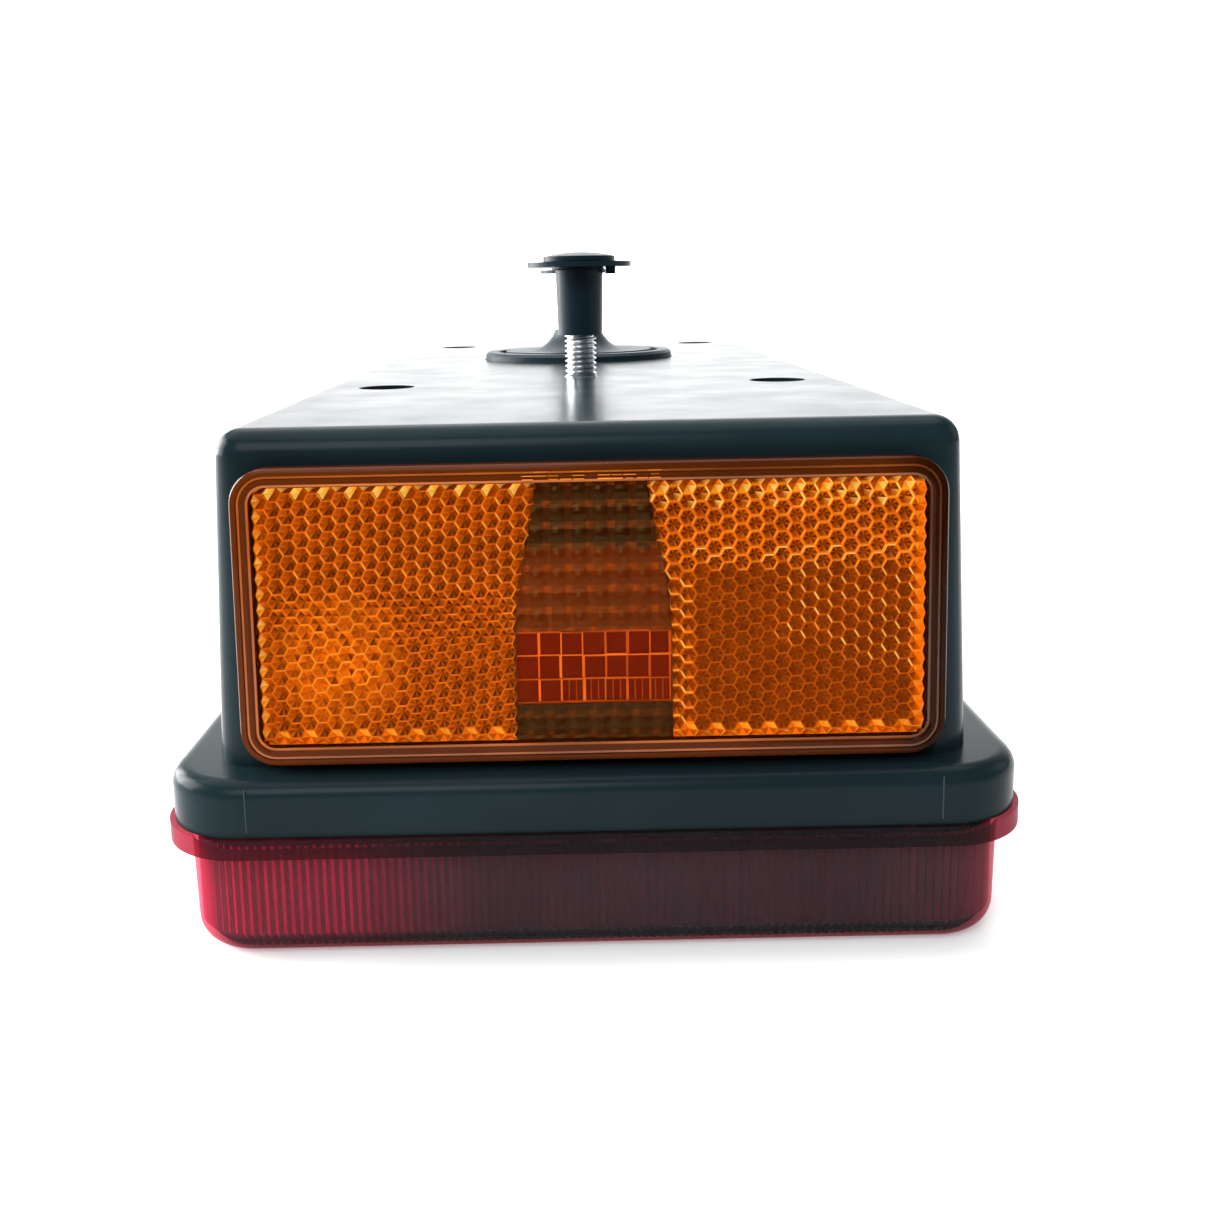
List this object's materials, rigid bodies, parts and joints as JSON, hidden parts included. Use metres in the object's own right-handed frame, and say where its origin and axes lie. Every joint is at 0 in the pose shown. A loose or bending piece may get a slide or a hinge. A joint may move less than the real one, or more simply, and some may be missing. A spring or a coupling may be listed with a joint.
{
  "type": "trailer tail light",
  "caption": "Long box tail light for a trailer: black housing with two studs and a cable grommet at the back, coloured lens in front, amber side marker on one end.",
  "frame": {"origin": "centre of the flat back face, midway between the two mounting studs", "axes": "+Z out of the back along the studs, +Y along the lamp away from the amber side-marker end, +X across it; the lamp lies on its lens"},
  "size_m": [0.15, 0.4, 0.1226],
  "materials": {
    "housing_plastic": "moulded, satin, blue-black",
    "nut_plastic": "moulded, soft gloss",
    "grommet_rubber": "matt",
    "foam": "closed-cell foam",
    "zinc_steel": "bright zinc plate",
    "nickel_steel": "nickel plate",
    "cap_brass": "satin",
    "contact_brass": "satin",
    "amber_plastic": "transparent amber moulding",
    "red_plastic": "transparent red moulding",
    "clear_plastic": "transparent moulding",
    "backing_plastic": "plain",
    "reflector_plastic": "bright white moulding",
    "block_plastic": "plain",
    "bulb_glass": "clear",
    "amber_glass": "amber lacquered"
  },
  "bodies": {
    "housing": {"housing": "housing_plastic", "mounting_stud_near": "zinc_steel", "mounting_stud_far": "zinc_steel", "cable_grommet": "grommet_rubber", "marker_lens": "amber_plastic", "marker_gasket": "foam", "marker_backing": "backing_plastic", "marker_window_pane": "red_plastic", "bulb_carrier": "reflector_plastic", "carrier_screws": "zinc_steel", "tail_bulb_holder": "nickel_steel", "stop_bulb_holder": "nickel_steel", "indicator_bulb_holder": "nickel_steel", "reverse_bulb_holder": "nickel_steel", "fog_bulb_holder": "nickel_steel", "contact_springs": "contact_brass", "feed_strips": "contact_brass", "earth_strip": "contact_brass", "terminal_block": "block_plastic", "terminal_screws": "contact_brass", "lens_gasket": "foam"},
    "lens": {"lens_tail_stop": "red_plastic", "lens_indicator": "amber_plastic", "lens_reverse": "clear_plastic", "lens_fog": "red_plastic", "rear_reflector": "red_plastic"},
    "lens_screws": {"lens_screws": "zinc_steel"},
    "tail_bulb": {"tail_bulb_cap": "cap_brass", "tail_bulb_glass": "bulb_glass"},
    "stop_bulb": {"stop_bulb_cap": "cap_brass", "stop_bulb_glass": "bulb_glass"},
    "indicator_bulb": {"indicator_bulb_cap": "cap_brass", "indicator_bulb_glass": "amber_glass"},
    "reverse_bulb": {"reverse_bulb_cap": "cap_brass", "reverse_bulb_glass": "bulb_glass"},
    "fog_bulb": {"fog_bulb_cap": "cap_brass", "fog_bulb_glass": "bulb_glass"},
    "near_washer": {"nut_washer_near": "nut_plastic"},
    "near_nut": {"sleeve_nut_near": "nut_plastic"},
    "far_washer": {"nut_washer_far": "nut_plastic"},
    "far_nut": {"sleeve_nut_far": "nut_plastic"}
  },
  "joints": [
    {"name": "lens_lift", "type": "slide", "parent": "housing", "child": "lens", "axis": [0, 0, -1], "range_m": [0, 0.06]},
    {"name": "lens_screws_draw", "type": "slide", "parent": "lens", "child": "lens_screws", "axis": [0, 0, -1], "range_m": [0, 0.013]},
    {"name": "tail_bulb_twist", "type": "hinge", "parent": "housing", "child": "tail_bulb", "pos_m": [0, -0.151, -0.0235], "axis": [0, 0, -1], "range_deg": [0, 20]},
    {"name": "stop_bulb_twist", "type": "hinge", "parent": "housing", "child": "stop_bulb", "pos_m": [0, -0.081, -0.0235], "axis": [0, 0, -1], "range_deg": [0, 20]},
    {"name": "indicator_bulb_twist", "type": "hinge", "parent": "housing", "child": "indicator_bulb", "pos_m": [0, -0.005, -0.0235], "axis": [0, 0, -1], "range_deg": [0, 20]},
    {"name": "reverse_bulb_twist", "type": "hinge", "parent": "housing", "child": "reverse_bulb", "pos_m": [0, 0.071, -0.0235], "axis": [0, 0, -1], "range_deg": [0, 20]},
    {"name": "fog_bulb_twist", "type": "hinge", "parent": "housing", "child": "fog_bulb", "pos_m": [0, 0.146, -0.0235], "axis": [0, 0, -1], "range_deg": [0, 20]},
    {"name": "near_washer_travel", "type": "slide", "parent": "housing", "child": "near_washer", "axis": [0, 0, 1], "range_m": [-0.003, 0.012]},
    {"name": "near_nut_turn", "type": "hinge", "parent": "near_washer", "child": "near_nut", "pos_m": [0, -0.076, 0.02], "axis": [0, 0, 1], "range_deg": [-870, 3462]},
    {"name": "far_washer_travel", "type": "slide", "parent": "housing", "child": "far_washer", "axis": [0, 0, 1], "range_m": [-0.003, 0.012]},
    {"name": "far_nut_turn", "type": "hinge", "parent": "far_washer", "child": "far_nut", "pos_m": [0, 0.076, 0.02], "axis": [0, 0, 1], "range_deg": [-870, 3462]}
  ],
  "couplings": [
    {"joint": "near_nut_turn", "follows": "near_washer_travel", "rad_per_m": 5026.5},
    {"joint": "far_nut_turn", "follows": "far_washer_travel", "rad_per_m": 5026.5}
  ]
}
